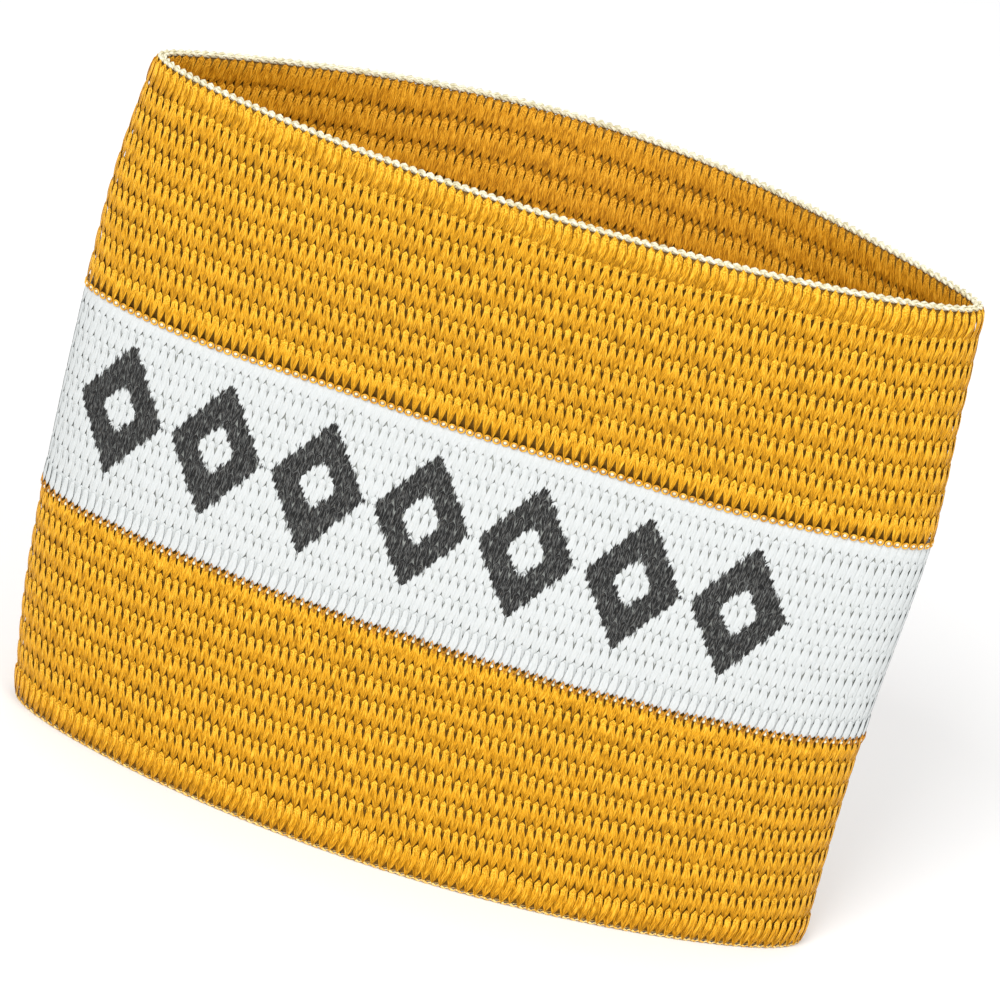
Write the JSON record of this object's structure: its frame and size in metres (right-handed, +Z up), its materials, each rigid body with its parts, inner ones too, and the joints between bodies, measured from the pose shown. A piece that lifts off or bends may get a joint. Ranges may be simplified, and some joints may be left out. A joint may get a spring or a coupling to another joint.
{
  "type": "captain armband",
  "caption": "Ribbed knitted elastic armband, gold with a white middle band and a plain dark print, standing slightly open on its lower rim.",
  "frame": {"origin": "on the floor under the middle of the loop's box", "axes": "+X from fold to fold, towards the right fold; -Y is the front with the print; +Z up from the lower rim to the cream chain"},
  "size_m": [0.1098, 0.0386, 0.0903],
  "materials": {
    "gold_yarn": "satin multifilament yarn, knitted in ribs",
    "white_yarn": "soft matt yarn, knitted in ribs, printed in charcoal",
    "cream_yarn": "smooth edge chain",
    "pale_gold_yarn": "fine edge loops"
  },
  "bodies": {
    "root": {"bottom_edge_chain": "pale_gold_yarn", "lower_band": "gold_yarn", "middle_band": "white_yarn", "upper_band": "gold_yarn", "top_edge_chain": "cream_yarn"}
  },
  "joints": []
}
